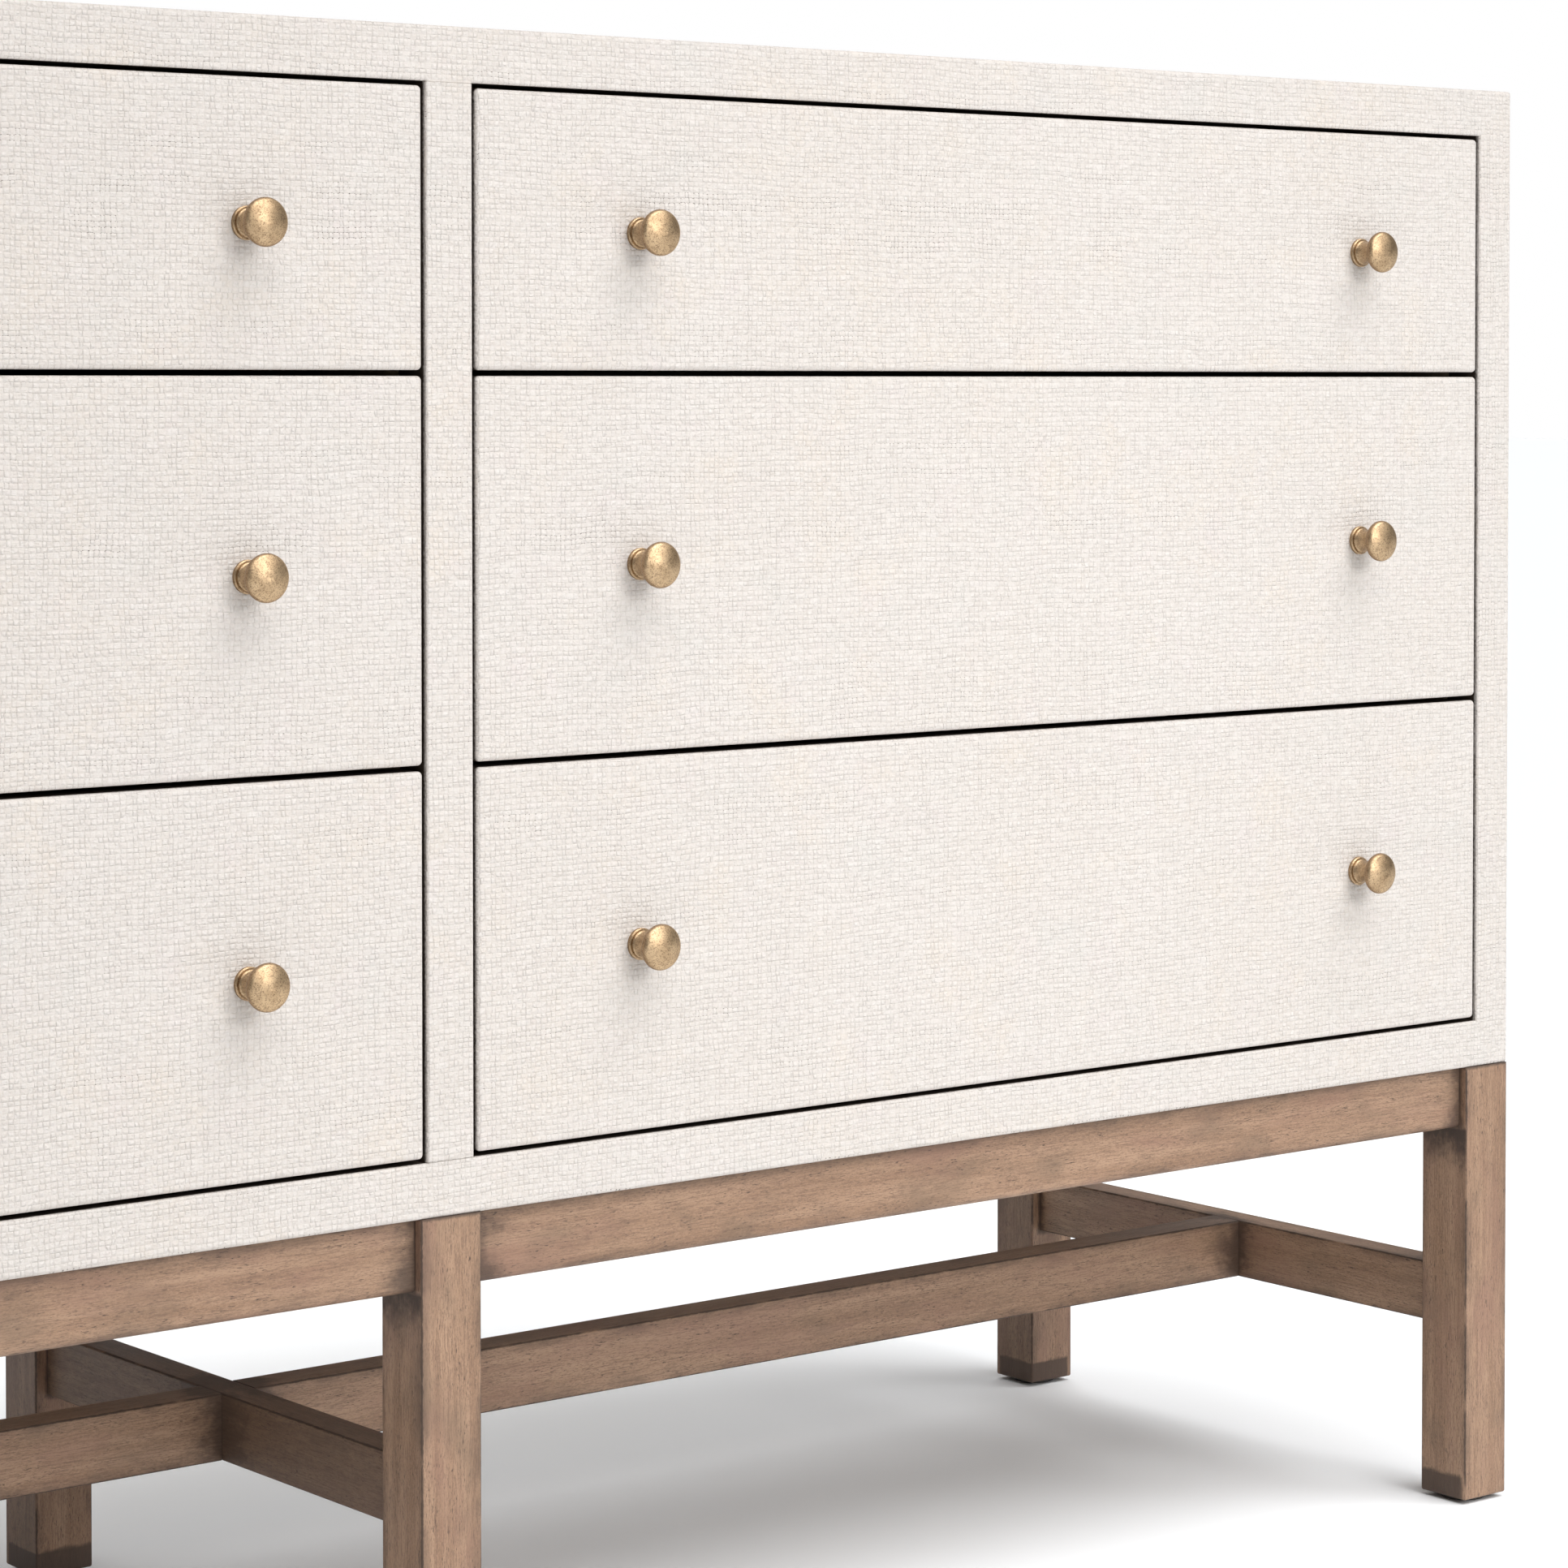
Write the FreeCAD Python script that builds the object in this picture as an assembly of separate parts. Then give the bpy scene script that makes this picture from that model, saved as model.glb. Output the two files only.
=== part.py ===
import FreeCAD, Part
import math
import os

# A low dresser: a cloth-wrapped case with two columns of three inset drawers, on a
# wooden base of six legs joined by aprons and stretchers. Sizes are in millimetres.
# The frame has +Z up and +X to the right when the drawers face the viewer, who looks
# along +Y. The origin is on the floor, at the middle of the overall width and depth.

V = FreeCAD.Vector

# ---- driving dimensions ----
WIDTH = 1630.0
DEPTH = 450.0            # case and legs, without the knobs
HEIGHT = 900.0
CASE_HEIGHT = 620.0
BOARD = 29.0             # every board of the case, covering included
BOARD_EDGE_R = 2.0
OPENING_EDGE_R = 1.5
BACK_THICK = 9.0
BACK_REBATE = 10.0

FRONT_THICK = 20.0
FRONT_EDGE_R = 2.5
SIDE_GAP = 2.5
END_GAP = 2.5            # above the top drawer and below the bottom one
ROW_GAP = 3.0
TOP_ROW_HEIGHT = 147.0

BOX_LENGTH = 400.0
BOX_WALL = 12.0
BOX_BOTTOM = 6.0
BOX_GROOVE = 6.0         # how far the bottom goes into each wall
BOX_GROOVE_UP = 10.0     # from the walls' lower edge to the bottom
BOX_LIFT = 14.0          # from the front's lower edge to the walls' lower edge
BOX_DROP = 23.0          # from the front's upper edge to the walls' upper edge
TAIL_PITCH = 36.0        # about, from one dovetail of the box corners to the next
PIN_WIDTH = 7.0          # between two tails, at the box's end
TAIL_SLOPE = 1 / 7

SLIDE_SPACE = 12.7       # between a drawer wall and the case on each side
SLIDE_STEEL = 1.2
SLIDE_BEND_R = 2.4
SLIDE_UP = 48.0          # from the walls' lower edge to the slide's middle
SLIDE_SHORTER = 8.0      # than the drawer box
CASE_MEMBER_HEIGHT = 45.0
MIDDLE_MEMBER_HEIGHT = 39.0
DRAWER_MEMBER_HEIGHT = 31.0

KNOB_PROJECTION = 24.0
KNOB_HEAD_R = 12.5
KNOB_HEAD_HALF = 5.5
KNOB_RIM_R = 3.0         # how sharply the head's rim turns
KNOB_NECK_TOP_R = 7.25
KNOB_NECK_R = 5.6
KNOB_NECK_UP = 8.6       # from the drawer front to the neck's waist
KNOB_FLANGE_R = 8.7
KNOB_FROM_SIDE = 106.0
KNOB_SCREW_R = 1.85
KNOB_SCREW_HEAD_R = 4.0
KNOB_SCREW_HEAD = 2.4
KNOB_THREAD_DEPTH = 9.0

LEG = 38.0
LEG_EDGE_R = 1.5
GLIDE_R = 14.0
GLIDE_THICK = 3.0
GLIDE_EDGE_R = 0.8
GLIDE_NAIL_R = 2.0
GLIDE_NAIL = 14.0

APRON_HEIGHT = 39.0
APRON_THICK = 22.0
APRON_SETBACK = 6.3      # behind the legs' outer faces
APRON_EDGE_R = 3.5
STRETCHER_LOW = 111.0
STRETCHER_HEIGHT = 38.0
LONG_STRETCHER_THICK = 25.0
CROSS_STRETCHER_THICK = 22.0
STRETCHER_EDGE_R = 1.5
TENON = 14.0             # length of every tenon
TENON_THICK = 8.0
TENON_SHOULDER = 6.0     # above and below each tenon

SCREW_R = 2.2
SCREW_HEAD_R = 4.5
SCREW_HEAD = 3.0
SCREW_LENGTH = 40.0
SCREW_RECESS = 12.0
HOLE_CLEARANCE = 0.2     # radial, around screws and nails

# ---- places worked out from them ----
FRONT_Y = (KNOB_PROJECTION - DEPTH) / 2
BACK_Y = FRONT_Y + DEPTH
HALF_W = WIDTH / 2
CASE_LOW = HEIGHT - CASE_HEIGHT
OPEN_LOW = CASE_LOW + BOARD
OPEN_HIGH = HEIGHT - BOARD
COLUMN_WIDTH = (WIDTH - 3 * BOARD) / 2
COLUMN_X = {"left": -(BOARD + COLUMN_WIDTH) / 2, "right": (BOARD + COLUMN_WIDTH) / 2}
FRONT_WIDTH = COLUMN_WIDTH - 2 * SIDE_GAP
DEEP_ROW_HEIGHT = (OPEN_HIGH - OPEN_LOW - 2 * END_GAP - 2 * ROW_GAP - TOP_ROW_HEIGHT) / 2
ROWS = {
    "bottom": (OPEN_LOW + END_GAP, DEEP_ROW_HEIGHT),
    "middle": (OPEN_LOW + END_GAP + DEEP_ROW_HEIGHT + ROW_GAP, DEEP_ROW_HEIGHT),
    "top": (OPEN_HIGH - END_GAP - TOP_ROW_HEIGHT, TOP_ROW_HEIGHT),
}
BOX_WIDTH = COLUMN_WIDTH - 2 * SLIDE_SPACE
BOX_Y = FRONT_Y + FRONT_THICK
LEG_X = {"left": -HALF_W + LEG / 2, "middle": 0.0, "right": HALF_W - LEG / 2}
LEG_Y = {"front": FRONT_Y + LEG / 2, "rear": BACK_Y - LEG / 2}
MID_Y = (FRONT_Y + BACK_Y) / 2
APRON_LOW = CASE_LOW - APRON_HEIGHT


def block(x0, x1, y0, y1, z0, z1):
    """A box between two corners."""
    return Part.makeBox(x1 - x0, y1 - y0, z1 - z0, V(x0, y0, z0))


def edges_where(shape, wanted):
    """The shape's edges for which wanted(low corner, high corner) is true."""
    found = []
    for edge in shape.Edges:
        b = edge.BoundBox
        if wanted(V(b.XMin, b.YMin, b.ZMin), V(b.XMax, b.YMax, b.ZMax)):
            found.append(edge)
    return found


def near(a, b):
    return abs(a - b) < 1e-4


def write(node, solids):
    """Writes one node as a single solid or as a group of separate solids."""
    solids = solids if isinstance(solids, list) else [solids]
    for solid in solids:
        if not solid.isValid() or len(solid.Solids) != 1:
            raise RuntimeError(node + " holds a piece that isn't one valid solid")
    pieces = [solid.Solids[0] for solid in solids]
    shape = pieces[0] if len(pieces) == 1 else Part.makeCompound(pieces)
    shape.exportStep("parts/" + node + ".step")


# ---- the case ----
def divider_blank():
    return block(-BOARD / 2, BOARD / 2, FRONT_Y - 1, BACK_Y - BACK_THICK, OPEN_LOW, OPEN_HIGH)


def back_blank():
    side = HALF_W - BOARD + BACK_REBATE
    return block(-side, side, BACK_Y - BACK_THICK, BACK_Y, OPEN_LOW - BACK_REBATE, OPEN_HIGH + BACK_REBATE)


def case_shell():
    """The outer boards and the divider in one piece, with rounded outer edges and openings."""
    shell = block(-HALF_W, HALF_W, FRONT_Y, BACK_Y, CASE_LOW, HEIGHT)
    shell = shell.makeFillet(BOARD_EDGE_R, shell.Edges)
    for x in COLUMN_X.values():
        half = COLUMN_WIDTH / 2
        shell = shell.cut(block(x - half, x + half, FRONT_Y - 1, BACK_Y + 1, OPEN_LOW, OPEN_HIGH))
    inner_x = HALF_W - BOARD / 2
    low_z, high_z = CASE_LOW + BOARD / 2, HEIGHT - BOARD / 2
    rims = edges_where(shell, lambda low, high: near(high.y, FRONT_Y) and low.z > low_z and high.z < high_z)
    rims = [edge for edge in rims if abs(edge.BoundBox.Center.x) < inner_x]
    return shell.makeFillet(OPENING_EDGE_R, rims).cut(back_blank())


def mitre_wedge(corners):
    """A prism through the case's depth, over four (x, z) corners."""
    points = [V(x, FRONT_Y - 5, z) for x, z in corners]
    return Part.Face(Part.makePolygon(points + points[:1])).extrude(V(0, DEPTH + 10, 0))


def case_boards():
    """The shell, mitred at its four corners, and the divider butted between top and bottom."""
    shell = case_shell()
    inner_x = HALF_W - BOARD
    outside = {"left": -HALF_W, "right": HALF_W}
    boards = {
        "top_panel": [(-HALF_W, HEIGHT), (HALF_W, HEIGHT), (inner_x, OPEN_HIGH), (-inner_x, OPEN_HIGH)],
        "bottom_panel": [(-HALF_W, CASE_LOW), (HALF_W, CASE_LOW), (inner_x, OPEN_LOW), (-inner_x, OPEN_LOW)],
    }
    for side, x in outside.items():
        inside = math.copysign(inner_x, x)
        boards[side + "_side_panel"] = [(x, CASE_LOW), (x, HEIGHT), (inside, OPEN_HIGH), (inside, OPEN_LOW)]
    made = {node: shell.common(mitre_wedge(corners)) for node, corners in boards.items()}
    made["centre_divider"] = shell.common(divider_blank())
    return made


# ---- drawer slides: three nested steel channels on each side of a drawer ----
def channel(wall_x, toward, web_at, reach, height, middle_z, y0, length):
    """A bent steel channel along Y. web_at is how far its web's outer face is from the case wall at wall_x,
    reach is how far its open edges are, and toward is the way to the drawer, +1 or -1."""
    inward = math.copysign(SLIDE_STEEL, reach - web_at)
    web_inside = web_at + inward
    mouth = reach + inward

    def bent(x_web, x_open, half, y_from, y_to, radius):
        low, high = sorted((x_web, x_open))
        shape = block(low, high, y_from, y_to, -half, half)
        corners = edges_where(
            shape, lambda a, b: near(a.x, x_web) and near(b.x, x_web) and b.y - a.y > length / 2
        )
        return shape.makeFillet(radius, corners)

    steel = bent(web_at, reach, height / 2, y0, y0 + length, SLIDE_BEND_R)
    hollow = bent(
        web_inside, mouth, height / 2 - SLIDE_STEEL, y0 - 1, y0 + length + 1, SLIDE_BEND_R - SLIDE_STEEL
    )
    steel = steel.cut(hollow)
    if toward < 0:
        steel = steel.mirror(V(0, 0, 0), V(1, 0, 0))
    steel.translate(V(wall_x, 0, middle_z))
    return steel


def slide_sets(column, row):
    """The three members on both sides of one drawer: fixed, middle and moving."""
    row_z, _ = ROWS[row]
    middle_z = row_z + BOX_LIFT + SLIDE_UP
    members = {
        "fixed": (0.0, 11.6, CASE_MEMBER_HEIGHT, 4.0),
        "middle": (2.4, 11.2, MIDDLE_MEMBER_HEIGHT, 6.0),
        "moving": (SLIDE_SPACE, 4.8, DRAWER_MEMBER_HEIGHT, 2.0),
    }
    made = {}
    for name, (web_at, reach, height, back_of_front) in members.items():
        made[name] = []
        for side in (-1, 1):
            wall_x = COLUMN_X[column] + side * COLUMN_WIDTH / 2
            y0 = BOX_Y + back_of_front
            length = BOX_LENGTH - SLIDE_SHORTER
            made[name].append(channel(wall_x, -side, web_at, reach, height, middle_z, y0, length))
    return made["fixed"], made["middle"], made["moving"]


# ---- drawers ----
def knob_places(column, row):
    row_z, row_height = ROWS[row]
    offset = FRONT_WIDTH / 2 - KNOB_FROM_SIDE
    return [(COLUMN_X[column] + side * offset, row_z + row_height / 2) for side in (-1, 1)]


def rod(x, z, y0, y1, radius):
    """A cylinder along Y."""
    return Part.makeCylinder(radius, y1 - y0, V(x, y0, z), V(0, 1, 0))


def drawer_front(column, row):
    row_z, row_height = ROWS[row]
    x = COLUMN_X[column]
    board = block(x - FRONT_WIDTH / 2, x + FRONT_WIDTH / 2, FRONT_Y, BOX_Y, row_z, row_z + row_height)
    rounded = edges_where(board, lambda low, high: low.y < BOX_Y - FRONT_EDGE_R)
    board = board.makeFillet(FRONT_EDGE_R, rounded)
    for knob_x, knob_z in knob_places(column, row):
        board = board.cut(rod(knob_x, knob_z, FRONT_Y - 1, BOX_Y + 1, KNOB_SCREW_R + HOLE_CLEARANCE))
    return board


def tails(x0, end_y, into, z0, z1):
    """The dovetails at one end of a drawer side whose outer face is at x0. end_y is the end's place and
    into the way along the side from it, +1 or -1."""
    count = round((z1 - z0) / TAIL_PITCH)
    pitch = (z1 - z0) / count
    shoulder_y = end_y + into * BOX_WALL
    shapes = []
    for i in range(count):
        middle = z0 + (i + 0.5) * pitch
        wide = (pitch - PIN_WIDTH) / 2
        narrow = wide - BOX_WALL * TAIL_SLOPE
        outline = [(end_y, wide), (shoulder_y, narrow), (shoulder_y, -narrow), (end_y, -wide)]
        points = [V(x0, y, middle + dz) for y, dz in outline]
        shapes.append(Part.Face(Part.makePolygon(points + points[:1])).extrude(V(BOX_WALL, 0, 0)))
    return Part.makeCompound(shapes)


def drawer_box(column, row):
    """Two sides, an inner front and a back, dovetailed at the corners, and a bottom let into all four."""
    row_z, row_height = ROWS[row]
    x0 = COLUMN_X[column] - BOX_WIDTH / 2
    x1 = x0 + BOX_WIDTH
    y0, y1 = BOX_Y, BOX_Y + BOX_LENGTH
    z0 = row_z + BOX_LIFT
    z1 = row_z + row_height - BOX_DROP
    inset = BOX_WALL - BOX_GROOVE
    bottom_z = z0 + BOX_GROOVE_UP
    bottom = block(x0 + inset, x1 - inset, y0 + inset, y1 - inset, bottom_z, bottom_z + BOX_BOTTOM)
    ends = [block(x0, x1, y0, y0 + BOX_WALL, z0, z1), block(x0, x1, y1 - BOX_WALL, y1, z0, z1)]
    sides = []
    for side_x in (x0, x1 - BOX_WALL):
        side = block(side_x, side_x + BOX_WALL, y0, y1, z0, z1)
        for i, (end_y, into) in enumerate(((y0, 1), (y1, -1))):
            joint = tails(side_x, end_y, into, z0, z1)
            ends[i] = ends[i].cut(joint)
            side = side.cut(ends[i])
        sides.append(side)
    for knob_x, knob_z in knob_places(column, row):
        hole = rod(knob_x, knob_z, y0 - 1, y0 + BOX_WALL + 1, KNOB_SCREW_R + HOLE_CLEARANCE)
        ends[0] = ends[0].cut(hole)
    return [wall.cut(bottom) for wall in sides + ends] + [bottom]


def knob_blank():
    """The turned knob about +Z, with its flange on the XY plane. The head is an oval: a tight rim arc
    between two shallow domes, all tangent."""
    head_z = KNOB_PROJECTION - KNOB_HEAD_HALF
    rim_at = KNOB_HEAD_R - KNOB_RIM_R
    dome_r = (rim_at**2 + KNOB_HEAD_HALF**2 - KNOB_RIM_R**2) / (2 * (KNOB_HEAD_HALF - KNOB_RIM_R))
    dome_down = dome_r - KNOB_HEAD_HALF
    meet = math.atan2(dome_down, rim_at)
    neck_top = math.acos(KNOB_NECK_TOP_R / dome_r)

    def point(centre_r, centre_z, radius, angle):
        return V(centre_r + radius * math.cos(angle), 0, centre_z + radius * math.sin(angle))

    def arc(centre_r, centre_z, radius, first, last):
        angles = (first, (first + last) / 2, last)
        return Part.Arc(*[point(centre_r, centre_z, radius, a) for a in angles]).toShape()

    flange = [
        V(0, 0, 0),
        V(KNOB_FLANGE_R, 0, 0),
        V(KNOB_FLANGE_R, 0, 1.5),
        V(KNOB_FLANGE_R - 0.6, 0, 2.1),
        V(KNOB_FLANGE_R - 1.3, 0, 2.1),
        V(KNOB_FLANGE_R - 1.3, 0, 3.1),
        V(KNOB_FLANGE_R - 1.9, 0, 3.7),
    ]
    edges = [Part.makeLine(a, b) for a, b in zip(flange, flange[1:])]
    neck_end = point(0, head_z + dome_down, dome_r, -neck_top)
    edges.append(Part.Arc(flange[-1], V(KNOB_NECK_R, 0, KNOB_NECK_UP), neck_end).toShape())
    edges.append(arc(0, head_z + dome_down, dome_r, -neck_top, -meet))
    edges.append(arc(rim_at, head_z, KNOB_RIM_R, -meet, meet))
    edges.append(arc(0, head_z - dome_down, dome_r, meet, math.pi / 2))
    edges.append(Part.makeLine(V(0, 0, KNOB_PROJECTION), V(0, 0, 0)))
    knob = Part.Face(Part.Wire(edges)).revolve(V(0, 0, 0), V(0, 0, 1), 360)
    return knob.cut(Part.makeCylinder(KNOB_SCREW_R + HOLE_CLEARANCE, KNOB_THREAD_DEPTH + 1, V(0, 0, -1)))


def knobs_with_screws(column, row):
    """Two knobs and the machine screws that hold them from inside the drawer."""
    pieces = []
    inner_y = BOX_Y + BOX_WALL
    head_y = inner_y + KNOB_SCREW_HEAD
    for x, z in knob_places(column, row):
        knob = knob_blank()
        knob.rotate(V(0, 0, 0), V(1, 0, 0), 90)
        knob.translate(V(x, FRONT_Y, z))
        shank = rod(x, z, FRONT_Y - KNOB_THREAD_DEPTH + 1, inner_y, KNOB_SCREW_R)
        head = rod(x, z, inner_y, head_y, KNOB_SCREW_HEAD_R)
        slot = block(x - 0.5, x + 0.5, head_y - 1, head_y + 1, z - 5, z + 5)
        pieces += [knob, shank.fuse(head).removeSplitter().cut(slot)]
    return pieces


# ---- the base ----
def leg(x, y):
    """A square leg with eased edges and a hole for its glide's nail."""
    half = LEG / 2
    post = block(x - half, x + half, y - half, y + half, GLIDE_THICK, CASE_LOW)
    upright = edges_where(post, lambda low, high: high.z - low.z > LEG)
    foot = edges_where(post, lambda low, high: near(high.z, GLIDE_THICK))
    post = post.makeFillet(LEG_EDGE_R, upright + foot)
    hole = Part.makeCylinder(GLIDE_NAIL_R + HOLE_CLEARANCE, GLIDE_NAIL + 2, V(x, y, GLIDE_THICK - 1))
    return post.cut(hole)


def glide(x, y):
    """A round pad with its nail."""
    pad = Part.makeCylinder(GLIDE_R, GLIDE_THICK, V(x, y, 0))
    rim = edges_where(pad, lambda low, high: near(high.z, 0) and high.x - low.x > GLIDE_R)
    pad = pad.makeFillet(GLIDE_EDGE_R, rim)
    nail = Part.makeCylinder(GLIDE_NAIL_R, GLIDE_NAIL - 1, V(x, y, GLIDE_THICK))
    return pad.fuse(nail).removeSplitter()


def bar(start, end, across, section, tenons):
    """A rail along X between two shoulders, centred on across. section is (thickness, lower edge, height,
    edge radius, which long edges are eased). tenons says whether both ends have one."""
    thick, z0, height, edge_r, eased = section
    half = thick / 2
    z1 = z0 + height
    body = block(start, end, across - half, across + half, z0, z1)
    long_edges = edges_where(
        body, lambda low, high: high.x - low.x > height and (eased == "all" or near(high.z, z0))
    )
    body = body.makeFillet(edge_r, long_edges)
    if tenons:
        tongue = TENON_THICK / 2
        low, high = z0 + TENON_SHOULDER, z1 - TENON_SHOULDER
        body = body.fuse(block(start - TENON, start, across - tongue, across + tongue, low, high))
        body = body.fuse(block(end, end + TENON, across - tongue, across + tongue, low, high))
    return body.removeSplitter()


def turned(shape):
    """The shape with its X and Y places exchanged, so that a rail along X runs along Y."""
    return shape.mirror(V(0, 0, 0), V(1, -1, 0))


def base_bars():
    """Every rail of the base, by node name."""
    apron = (APRON_THICK, APRON_LOW, APRON_HEIGHT, APRON_EDGE_R, "lower")
    long_bar = (LONG_STRETCHER_THICK, STRETCHER_LOW, STRETCHER_HEIGHT, STRETCHER_EDGE_R, "all")
    cross_bar = (CROSS_STRETCHER_THICK, STRETCHER_LOW, STRETCHER_HEIGHT, STRETCHER_EDGE_R, "all")
    setback = APRON_SETBACK + APRON_THICK / 2
    apron_y = {"front": FRONT_Y + setback, "rear": BACK_Y - setback}
    rail_x = {"left": -HALF_W + setback, "middle": 0.0, "right": HALF_W - setback}
    bars = {}
    for bay, (first, last) in {"left": ("left", "middle"), "right": ("middle", "right")}.items():
        start, end = LEG_X[first] + LEG / 2, LEG_X[last] - LEG / 2
        for place, y in apron_y.items():
            bars[place + "_apron_" + bay] = bar(start, end, y, apron, True)
        start, end = LEG_X[first] + CROSS_STRETCHER_THICK / 2, LEG_X[last] - CROSS_STRETCHER_THICK / 2
        bars["long_stretcher_" + bay] = bar(start, end, MID_Y, long_bar, False)
    start, end = LEG_Y["front"] + LEG / 2, LEG_Y["rear"] - LEG / 2
    for place, x in LEG_X.items():
        bars["cross_rail_" + place] = turned(bar(start, end, rail_x[place], apron, True))
        bars["cross_stretcher_" + place] = turned(bar(start, end, x, cross_bar, True))
    return bars


def base_screw_places(bars):
    """Where screws rise through the aprons and cross rails into the case's bottom board."""
    places = {}
    for node, shape in bars.items():
        if "stretcher" in node:
            continue
        b = shape.BoundBox
        x, y = (b.XMin + b.XMax) / 2, (b.YMin + b.YMax) / 2
        if "apron" in node:
            places[node] = [(x + share * (b.XMax - b.XMin), y) for share in (-0.35, 0, 0.35)]
        else:
            places[node] = [(x, y + share * (b.YMax - b.YMin)) for share in (-0.3, 0.3)]
    return places


def base_screw(x, y):
    z = APRON_LOW + SCREW_RECESS
    shank = Part.makeCylinder(SCREW_R, SCREW_LENGTH, V(x, y, z))
    head = Part.makeCone(SCREW_HEAD_R, SCREW_R, SCREW_HEAD, V(x, y, z))
    return shank.fuse(head).removeSplitter()


def base_screw_hole(x, y):
    """A counterbore from below and a hole that goes 1 mm past the screw's tip."""
    recess_r, shank_r = SCREW_HEAD_R + HOLE_CLEARANCE, SCREW_R + HOLE_CLEARANCE
    recess = Part.makeCylinder(recess_r, SCREW_RECESS + SCREW_HEAD + 1, V(x, y, APRON_LOW - 1))
    shank = Part.makeCylinder(shank_r, SCREW_LENGTH + 1, V(x, y, APRON_LOW + SCREW_RECESS))
    return recess.fuse(shank)


def main():
    os.makedirs("parts", exist_ok=True)

    bars = base_bars()
    screws = []
    boards = case_boards()
    for node, places in base_screw_places(bars).items():
        for x, y in places:
            hole = base_screw_hole(x, y)
            bars[node] = bars[node].cut(hole)
            boards["bottom_panel"] = boards["bottom_panel"].cut(hole)
            screws.append(base_screw(x, y))

    for node, board in boards.items():
        write(node, board)
    write("back_panel", back_blank())

    glides = []
    tenoned = Part.makeCompound([shape for node, shape in bars.items() if "long_stretcher" not in node])
    for depth_name, y in LEG_Y.items():
        for side, x in LEG_X.items():
            write("leg_" + depth_name + "_" + side, leg(x, y).cut(tenoned))
            glides.append(glide(x, y))
    write("foot_glides", glides)
    for node, shape in bars.items():
        write(node, shape)
    write("base_screws", screws)

    case_members = []
    for row in ROWS:
        for column in COLUMN_X:
            drawer = "drawer_" + row + "_" + column
            fixed, middle, moving = slide_sets(column, row)
            case_members += fixed
            write(drawer + "_front", drawer_front(column, row))
            write(drawer + "_box", drawer_box(column, row))
            write(drawer + "_knobs", knobs_with_screws(column, row))
            write(drawer + "_slide_inner", moving)
            write(drawer + "_slide_middle", middle)
    write("slide_case_members", case_members)


main()
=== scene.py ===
import math

import bmesh
import bpy
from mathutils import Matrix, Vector


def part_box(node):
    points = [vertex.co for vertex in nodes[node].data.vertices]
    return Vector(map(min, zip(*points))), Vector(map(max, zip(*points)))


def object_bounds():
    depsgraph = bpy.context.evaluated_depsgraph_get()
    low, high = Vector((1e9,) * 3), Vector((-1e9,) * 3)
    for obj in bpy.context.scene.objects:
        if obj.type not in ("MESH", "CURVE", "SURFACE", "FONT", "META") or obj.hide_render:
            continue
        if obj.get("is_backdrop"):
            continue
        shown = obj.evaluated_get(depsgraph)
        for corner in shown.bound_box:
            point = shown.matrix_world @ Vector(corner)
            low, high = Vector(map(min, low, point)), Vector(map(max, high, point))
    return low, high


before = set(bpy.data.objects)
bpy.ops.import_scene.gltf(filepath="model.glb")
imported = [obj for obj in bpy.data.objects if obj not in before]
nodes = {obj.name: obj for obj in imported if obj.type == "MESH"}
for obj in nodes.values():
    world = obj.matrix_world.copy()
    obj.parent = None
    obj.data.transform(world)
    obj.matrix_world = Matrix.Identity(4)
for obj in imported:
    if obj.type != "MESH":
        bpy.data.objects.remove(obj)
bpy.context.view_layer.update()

scene = bpy.context.scene
MM = 1000.0                 # millimetres in a metre: the materials work in millimetres
FACE_TURN = 0.707           # a normal's share above which a face counts as turned that way

# ---- camera: the photograph's viewing angle ----
CAMERA_PLACE = (-1.2583, -2.0661, 0.7154)
CAMERA_YAW = 38.621         # degrees to the right of straight at the front
CAMERA_PITCH = -1.5         # degrees up
CAMERA_LENS = 98.648        # millimetres
CAMERA_SENSOR = 36.0
CAMERA_SHIFT_Y = -0.1847

# ---- weave of the raffia, in millimetres ----
TILE_WIDE = 6.6             # from one weft float to the next along a row
ROW_HIGH = 2.85             # from one row to the next
TURNED_IN = 26.0            # how far behind the front plane the covering reaches into the case
SEAM_HALF = 0.35            # half the width of a seam line
PAST_FACE = 0.3             # how far outside a face still counts as inside the case
RAFFIA_DEPTH = 0.00066      # metres, from the pits between threads to the top of a float

# ---- colours, linear ----
RAFFIA_DARK, RAFFIA_LIGHT = (0.619, 0.571, 0.532), (0.647, 0.602, 0.564)
RAFFIA_BLEACHED = (0.708, 0.676, 0.651)
# painted shade for the pits between floats
RAFFIA_PIT_SHADE = (0.387, 0.341, 0.296)
RAFFIA_HOLE = (0.081, 0.064, 0.048)
RAFFIA_SEAM = (0.270, 0.226, 0.186)
# painted shade for the edges inside the gaps round the drawers
GAP_SHADE_DARK, GAP_SHADE_LIGHT = (0.040, 0.028, 0.020), (0.070, 0.050, 0.037)
WOOD_DARK, WOOD_LIGHT = (0.276, 0.166, 0.101), (0.396, 0.253, 0.162)
WOOD_PORE = (0.045, 0.027, 0.021)
GLAZE_AND_SHADE = (0.058, 0.037, 0.027)
POPLAR_DARK, POPLAR_LIGHT = (0.60, 0.44, 0.28), (0.69, 0.54, 0.37)
POPLAR_STREAK = (0.47, 0.33, 0.20)
BACK_DARK, BACK_LIGHT = (0.425, 0.330, 0.240), (0.520, 0.415, 0.310)
BRASS_DARK, BRASS_LIGHT = (0.480, 0.338, 0.200), (0.590, 0.428, 0.262)
BRASS_NECK = (0.165, 0.105, 0.065)
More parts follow.
